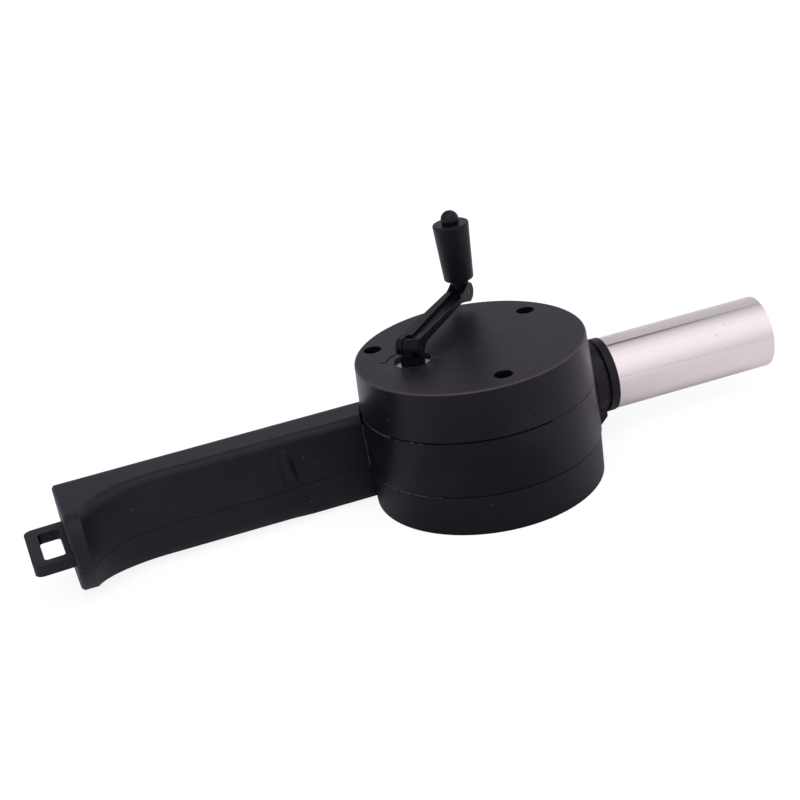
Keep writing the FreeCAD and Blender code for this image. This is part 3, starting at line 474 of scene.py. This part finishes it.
# Flash along the two seams, and the painted highlight down the drum's edge by the handle
thread("seam_flash", [arc(upper_seam, -0.02, -0.22, -170.0, -136.0),
                      arc(lower_seam, 0.0, -0.24, -166.0, -130.0), handle_corner_highlight],
       flash_and_highlight_grey, "case_plastic", flash_and_highlight_sizes)
thread("seam_burrs", [arc(upper_seam, 0.02, -0.08, -152.0, -134.0)],
       flash_and_highlight_grey, "case_plastic", burr_sizes)
thread("seam_flecks", [arc(upper_seam, 0.02, -0.06, -108.0, -30.0),
                       arc(lower_seam, 0.0, -0.16, -96.0, -40.0)],
       flash_and_highlight_grey, "case_plastic", fleck_sizes)
# Painted shade: near-black threads in the seam grooves and round the collar, where the gaps lie in
# shadow
thread("upper_gap", [arc(upper_seam, 0.0, 0.02, -154.0, -72.0)],
       painted_gap_shade, "case_plastic", wide_gap_shade_sizes)
thread("lower_gap", [arc(lower_seam, -0.02, 0.0, -140.0, 0.0),
                     arc(lower_seam, -0.02, 0.0, 40.0, 145.0)],
       painted_gap_shade, "case_plastic", gap_shade_sizes)
thread("neck_glue", [neck_arc(12.95, x, -50.0, 150.0) for x in (42.5, 44.6, 48.9)],
       collar_black, "case_plastic", glue_sizes)
thread("tube_lip", [neck_arc(13.24, 52.93)], tube_steel, "polished_tube", lip_sizes)
thread("collar_gap", [neck_arc(13.3, 52.72), neck_arc(13.1, 49.32)],
       painted_gap_shade, "case_plastic", gap_shade_sizes)


# Two soft ribs pressed up in the handle's front, beside the drum


# Each rib's top x and z, foot x and z, height and half width, in millimetres
ribs = ((-73.6, 28.0, -72.0, 14.5, 0.55, 1.1), (-70.2, 30.0, -67.4, 14.5, 0.95, 1.35))
patch_step = 0.5
# The patch's edge lies this far under the grip's surface, and its back this far
patch_sink = 0.06
patch_depth = 0.5


def rib_height(x, z):
    height = 0.0
    for top_x, top_z, low_x, low_z, lift, width in ribs:
        along = min(1.0, max(0.0, (top_z - z) / (top_z - low_z)))
        middle = top_x + (low_x - top_x) * along
        fade = math.sin(math.pi * along) ** 0.6 if 0.0 < along < 1.0 else 0.0
        height += lift * fade * math.exp(-((x - middle) / width) ** 2)
    return height


def handle_ribs():
    """A closed patch that follows the grip's front and rises through it as two ribs."""
    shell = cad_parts["handle_upper_shell"]
    surface = BVHTree.FromObject(shell, bpy.context.evaluated_depsgraph_get())
    across = [(-79.0 + patch_step * step) * MM for step in range(37)]
    upward = [(15.4 + patch_step * step) * MM for step in range(32)]
    front = []
    back = []
    for z in upward:
        for x in across:
            met, normal = surface.ray_cast(Vector((x, -0.05, z)), Vector((0.0, 1.0, 0.0)))[:2]
            lift = (rib_height(x / MM, z / MM) - patch_sink) * MM
            front.append(met + normal * lift)
            back.append(met - normal * patch_depth * MM)
    wide = len(across)
    tall = len(upward)
    count = wide * tall
    faces = []
    for row in range(tall - 1):
        for column in range(wide - 1):
            a = row * wide + column
            faces.append((a, a + 1, a + wide + 1, a + wide))
            faces.append((a + count, a + wide + count, a + wide + 1 + count, a + 1 + count))
    border = list(range(wide)) + [row * wide + wide - 1 for row in range(1, tall)]
    border += [(tall - 1) * wide + column for column in range(wide - 2, -1, -1)]
    border += [row * wide for row in range(tall - 2, 0, -1)]
    for here, following in zip(border, border[1:] + border[:1]):
        faces.append((here, here + count, following + count, following))
    mesh = bpy.data.meshes.new("handle_ribs")
    mesh.from_pydata(front + back, [], faces)
    face_outward(mesh)
    mesh.materials.append(grip_black)
    piece = bpy.data.objects.new("handle_ribs", mesh)
    bpy.context.scene.collection.objects.link(piece)
    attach(piece, "housing")


handle_ribs()


# Studio: a fitted camera, a light tent that the fan mirrors, a white floor and one soft lamp

camera_turn = -0.2216
camera_tilt = 0.4149
camera_roll = -0.1786
camera_distance = 531.4 * MM
camera_target = Vector((-27.34, 0.0, 38.49)) * MM
focal_length = 69.836

level_right = Vector((math.cos(camera_turn), math.sin(camera_turn), 0.0))
forward = Vector((-math.sin(camera_turn) * math.cos(camera_tilt),
                  math.cos(camera_turn) * math.cos(camera_tilt), -math.sin(camera_tilt)))
level_up = level_right.cross(forward)
right = level_right * math.cos(camera_roll) + level_up * math.sin(camera_roll)
up = level_up * math.cos(camera_roll) - level_right * math.sin(camera_roll)


def make_camera():
    data = bpy.data.cameras.new("studio_camera")
    data.lens = focal_length
    data.sensor_width = 36.0
    data.clip_start = 0.01
    data.clip_end = 50.0
    camera = bpy.data.objects.new("studio_camera", data)
    turned = Matrix((right, up, -forward)).transposed().to_4x4()
    camera.matrix_world = Matrix.Translation(camera_target - forward * camera_distance) @ turned
    bpy.context.scene.collection.objects.link(camera)
    bpy.context.scene.camera = camera


def make_lamp(name, place, size, power):
    """A rectangular area lamp that points at the drum."""
    data = bpy.data.lights.new(name, "AREA")
    data.shape = "RECTANGLE"
    data.size, data.size_y = size
    data.energy = power
    lamp = bpy.data.objects.new(name, data)
    lamp.location = place
    aim = Vector((0.0, 0.0, 0.03)) - Vector(place)
    lamp.rotation_euler = aim.to_track_quat("-Z", "Y").to_euler()
    bpy.context.scene.collection.objects.link(lamp)


def make_world():
    """White behind the object. What it mirrors is a light tent: bright overhead and in front, with
    a dark slit where the tent's top meets its back, and dimmer towards the back's left."""
    world = bpy.data.worlds.new("light_tent")
    world.use_nodes = True
    bpy.context.scene.world = world
    finish = Finish(world.node_tree)
    way = finish.node("SeparateXYZ", {}, {"Vector": finish.node("TexCoord").out("Generated")})
    # The angle over the back's horizon, as a share of 240 degrees
    lift = way.out(2).maths("ARCTAN2", way.out(2), way.out(1)) * (180.0 / math.pi / 240.0)
    slit_from, slit_to = 0.252, 0.285
    tent = [(0.0, 0.70), (0.10, 0.64), (0.235, 0.58), (slit_from, 0.52), (0.255, 0.03), (0.264, 0.06),
            (0.280, 0.42), (0.33, 0.74), (0.42, 1.0), (0.50, 1.10), (0.60, 1.06), (0.66, 0.96),
            (0.72, 0.84), (0.80, 0.74)]
    slit = finish.node("ValToRGB", {"stops": tent}, {"Fac": lift}).out(0)
    filled = [stop for stop in tent if not slit_from < stop[0] < slit_to]
    plain = finish.node("ValToRGB", {"stops": filled}, {"Fac": lift}).out(0)
    shade = finish.mix(way.out(0).between(0.34, 0.44), slit, plain)
    tinted = finish.node("Mix", {"data_type": "RGBA", "blend_type": "MULTIPLY"},
                         {0: 1.0, 6: shade, 7: tone(1.03, 0.955, 1.11)}).out(2)
    sides = [(0.04, 0.64), (0.20, 1.0), (0.27, 0.98), (0.32, 0.80), (0.40, 0.76), (0.45, 1.0)]
    side = finish.node("ValToRGB", {"stops": sides}, {"Fac": way.out(0) + 0.1}).out(0)
    behind = 1 - lift.between(0.20, 0.30)
    dimmed = 1 - behind * (1 - side)
    seen = finish.node("LightPath").out("Is Camera Ray")
    lit = finish.node("Background", {}, {"Color": tinted, "Strength": dimmed}).out(0)
    white = finish.node("Background", {}, {"Color": tone(1.0, 1.0, 1.0), "Strength": 1.0}).out(0)
    mixed = finish.node("MixShader", {}, {0: seen, 1: lit, 2: white}).out(0)
    finish.node("OutputWorld", {}, {"Surface": mixed})


def make_floor():
    """White to the camera, with the fan's shadow. What the fan mirrors of it has painted shadow: it is
    darker in front of the drum and behind the tube."""
    half = 4.0
    level = -0.05 * MM
    mesh = bpy.data.meshes.new("floor")
    corners = [(x * half, y * half, level) for x, y in ((-1, -1), (1, -1), (1, 1), (-1, 1))]
    mesh.from_pydata(corners, [], [(0, 1, 2, 3)])
    floor = bpy.data.objects.new("floor", mesh)
    bpy.context.scene.collection.objects.link(floor)
    material, finish = new_finish("floor_white")
    spot = finish.place()
    # Painted shadow: a dark patch in front of the drum, lightening outwards, seen only in what the fan
    # mirrors
    out = reach_from(finish, spot, (-35.0, -95.0, 0.0))
    clear_of_painted_shadow = out.between(62.0 * MM, 104.0 * MM) * 0.75 + finish.noise(spot, 3.0, 2.0) * 0.08
    far = out.between(104.0 * MM, 170.0 * MM) * 0.17
    axes = finish.node("SeparateXYZ", {}, {"Vector": spot})
    x, y = axes.out(0), axes.out(1)
    # Painted shadow behind the tube, which its lower edge mirrors
    back = y.between(12.0 * MM, 30.0 * MM) * (1 - y.between(50.0 * MM, 90.0 * MM))
    painted_shadow_past_tube = back * x.between(50.0 * MM, 60.0 * MM)
    unshadowed_share = (clear_of_painted_shadow + far) * (1 - painted_shadow_past_tube * 0.65)
    mirrored_with_painted_shadow = finish.mix(unshadowed_share, tone(0.36, 0.35, 0.37), tone(0.94, 0.93, 0.94))
    seen = finish.node("LightPath").out("Is Camera Ray")
    colour = finish.mix(seen, mirrored_with_painted_shadow, tone(0.85, 0.85, 0.85))
    matte = finish.node("BsdfDiffuse", {}, {"Color": colour}).out(0)
    glow = finish.node("Emission", {}, {"Color": tone(1.0, 1.0, 1.0), "Strength": 1.2}).out(0)
    mixed = finish.node("MixShader", {}, {0: seen * 0.72, 1: matte, 2: glow}).out(0)
    finish.node("OutputMaterial", {}, {"Surface": mixed})
    mesh.materials.append(material)


make_camera()
make_world()
make_floor()
make_lamp("top_softbox", place=(-0.15, -0.35, 1.25), size=(1.1, 0.8), power=1.6)

bpy.context.scene.view_settings.view_transform = "Standard"
